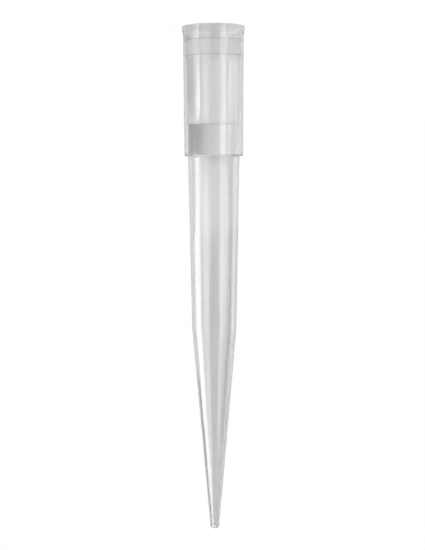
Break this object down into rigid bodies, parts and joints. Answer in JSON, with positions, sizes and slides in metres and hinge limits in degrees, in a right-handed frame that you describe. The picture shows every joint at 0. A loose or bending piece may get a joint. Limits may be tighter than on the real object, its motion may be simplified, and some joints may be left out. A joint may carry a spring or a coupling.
{
  "type": "filter pipette tip",
  "caption": "Clear conical pipette tip with a beaded socket, a rack ledge and a white filter plug; it carries one liquid sample and keeps aerosol out of the pipette.",
  "frame": {"origin": "centre of the open rim, in the plane of its flat lip", "axes": "+Z along the tip's axis from the rim to the point; X and Y are free, because the tip is round"},
  "size_m": [0.0088, 0.0088, 0.0779],
  "materials": {
    "clear_barrel": "clear natural polypropylene, glossy with a slight haze",
    "sintered_filter": "matt white sintered granules"
  },
  "bodies": {
    "root": {"tip_barrel": "clear_barrel", "filter_plug": "sintered_filter"}
  },
  "joints": []
}
